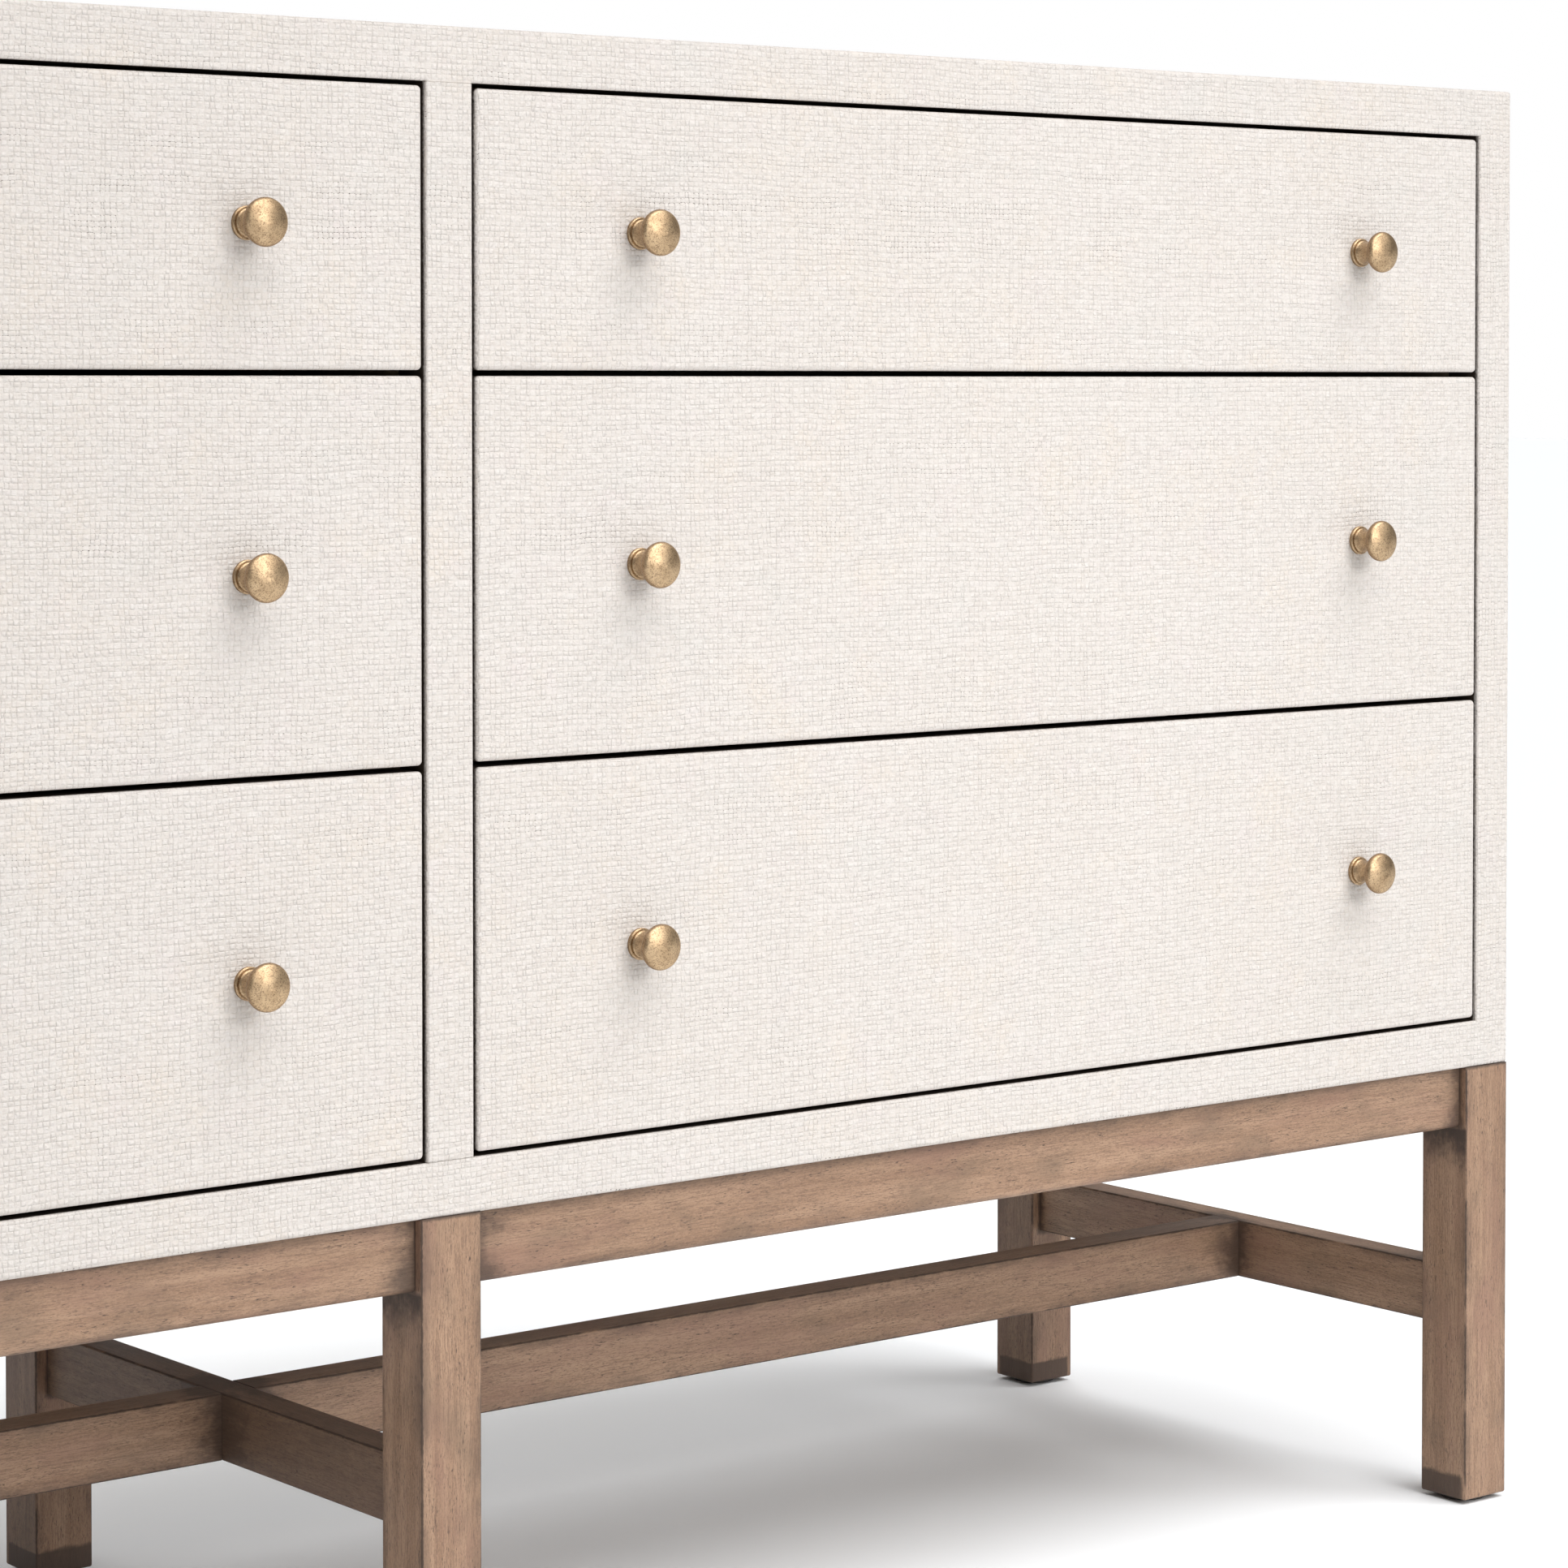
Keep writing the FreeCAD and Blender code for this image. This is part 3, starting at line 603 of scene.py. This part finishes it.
for node in nodes:
    low, high = millimetres(node)
    end, _, side = node.rpartition("_")
    aprons = ("left", "right") if side == "middle" else (side,)
    if node.startswith("leg_"):
        row = end.split("_")[1]
        beside = [row + "_apron_" + a for a in aprons]
        crossing = ("cross_stretcher_" + side, "cross_rail_" + side)
        around = meeting(LEG_FROM_APRON, *beside)
        around += meeting(LEG_BELOW_APRON, *beside, side_only=True)
        around += meeting(LEG_FROM_STRETCHER, *crossing)
        around += meeting(LEG_FROM_CASE, "bottom_panel")
        around += meeting(LEG_FROM_GLIDE, "foot_glides")
        darker = REAR_LEG_SIDE_SHADE if row == "rear" else ()
        wear(node, base_wood("wood_" + node, low, high, "z", around, darker))
    elif end.endswith("_apron"):
        legs = ["leg_" + end.split("_")[0] + "_" + s for s in (side, "middle")]
        around = meeting(APRON_FROM_LEG, *legs) + meeting(APRON_FROM_CASE, "bottom_panel")
        wear(node, base_wood("wood_" + node, low, high, "x", around))
    elif end == "long_stretcher":
        crossed = ["cross_stretcher_" + s for s in (side, "middle")]
        around = meeting(LONG_FROM_CROSS, *crossed)
        wear(node, base_wood("wood_" + node, low, high, "x", around, LONG_STRETCHER_SHADE))
    elif end == "cross_stretcher":
        joined = ["long_stretcher_" + s for s in aprons]
        around = meeting(CROSS_FROM_LONG[side], *joined)
        around += meeting(CROSS_FROM_LEG, "leg_front_" + side, "leg_rear_" + side)
        darker = MIDDLE_CROSS_SHADE if side == "middle" else ()
        wear(node, base_wood("wood_" + node, low, high, "y", around, darker))
    elif end == "cross_rail":
        wear(node, base_wood("wood_" + node, low, high, "y"))


# ---------------------------------------------------------------- camera
camera_data = bpy.data.cameras.new("camera")
camera = bpy.data.objects.new("camera", camera_data)
scene.collection.objects.link(camera)
scene.camera = camera
yaw, pitch = math.radians(CAMERA_YAW), math.radians(CAMERA_PITCH)
ahead = Vector((math.sin(yaw) * math.cos(pitch), math.cos(yaw) * math.cos(pitch), math.sin(pitch)))
camera.location = CAMERA_PLACE
camera.rotation_mode = "QUATERNION"
camera.rotation_quaternion = ahead.to_track_quat("-Z", "Y")
camera_data.sensor_width = CAMERA_SENSOR
camera_data.lens = CAMERA_LENS
camera_data.shift_y = CAMERA_SHIFT_Y
camera_data.clip_start = 0.05
camera_data.clip_end = 200.0

# ---------------------------------------------------------------- floor and light
FLOOR_HALF = 40.0   # metres
AMBIENT_STRENGTH = 0.08
BACKDROP_STRENGTH = 1.0
SUNS = (    # name, degrees to the right of the front, degrees up, strength, degrees wide
    ("high_left", -30, 65, 1.22, 50),
    ("high_right", 30, 60, 1.64, 40),
    ("low_left", -22, 44, 0.19, 16),
    ("low_right", 45, 32, 0.17, 14),
    ("overhead", 0, 80, 0.27, 90),
    ("behind", 140, 40, 0.34, 50),
)
SOFTBOXES = (   # name, place, what it points at, width, height, watts, degrees of spread
    ("key", (0.54, -3.20, 1.74), (0.48, -0.20, 0.56), 1.4, 1.2, 4.3, 53),
    ("fill", (0.55, -3.20, 1.00), (0.45, -0.20, 0.50), 1.6, 1.4, 2.8, 82),
    ("rear", (0.30, 0.72, 1.15), (0.30, 0.80, 0.00), 2.4, 0.6, 3.4, 100),
)

floor_mesh = bpy.data.meshes.new("floor")
grid = bmesh.new()
bmesh.ops.create_grid(grid, x_segments=8, y_segments=8, size=FLOOR_HALF)
grid.to_mesh(floor_mesh)
grid.free()
floor = bpy.data.objects.new("floor", floor_mesh)
scene.collection.objects.link(floor)
floor_tree = Tree("floor")
floor_grain = floor_tree.noise(floor_tree.join(*floor_tree.place()), 0.002, 3)
floor_colour = floor_tree.mix(floor_grain, FLOOR_DARK, FLOOR_LIGHT)
floor_mesh.materials.append(floor_tree.finish(floor_colour, 0.9))
floor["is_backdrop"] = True


def sun(name, azimuth, elevation, strength, spread):
    """A broad soft light from far away. The azimuth is from straight in front, positive to the right."""
    data = bpy.data.lights.new(name, "SUN")
    data.energy = strength
    data.angle = math.radians(spread)
    light = bpy.data.objects.new(name, data)
    scene.collection.objects.link(light)
    a, e = math.radians(azimuth), math.radians(elevation)
    light.rotation_mode = "QUATERNION"
    towards = Vector((-math.sin(a) * math.cos(e), math.cos(a) * math.cos(e), -math.sin(e)))
    light.rotation_quaternion = towards.to_track_quat("-Z", "Y")


def softbox(name, place, target, wide, high, power, spread):
    """A flat lamp pointing at target, left out of the picture itself."""
    data = bpy.data.lights.new(name, "AREA")
    data.shape = "RECTANGLE"
    data.spread = math.radians(spread)
    data.size, data.size_y = wide, high
    data.energy = power
    light = bpy.data.objects.new(name, data)
    scene.collection.objects.link(light)
    light.location = place
    light.rotation_mode = "QUATERNION"
    light.rotation_quaternion = (Vector(target) - Vector(place)).to_track_quat("-Z", "Y")
    light.visible_camera = False


for row in SUNS:
    sun(*row)
for row in SOFTBOXES:
    softbox(*row)

world = bpy.data.worlds.new("world")
scene.world = world
world.use_nodes = True
world_nodes, world_links = world.node_tree.nodes, world.node_tree.links
world_nodes.clear()
seen_by = world_nodes.new("ShaderNodeLightPath")
ambient = world_nodes.new("ShaderNodeBackground")
ambient.inputs["Color"].default_value = AMBIENT_COLOUR
ambient.inputs["Strength"].default_value = AMBIENT_STRENGTH
backdrop = world_nodes.new("ShaderNodeBackground")
backdrop.inputs["Color"].default_value = BACKDROP_COLOUR
backdrop.inputs["Strength"].default_value = BACKDROP_STRENGTH
either = world_nodes.new("ShaderNodeMixShader")
world_out = world_nodes.new("ShaderNodeOutputWorld")
world_links.new(seen_by.outputs["Is Camera Ray"], either.inputs[0])
world_links.new(ambient.outputs[0], either.inputs[1])
world_links.new(backdrop.outputs[0], either.inputs[2])
world_links.new(either.outputs[0], world_out.inputs[0])

scene.view_settings.view_transform = "Standard"
scene.view_settings.look = "None"

# ---------------------------------------------------------------- size of the object
low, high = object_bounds()
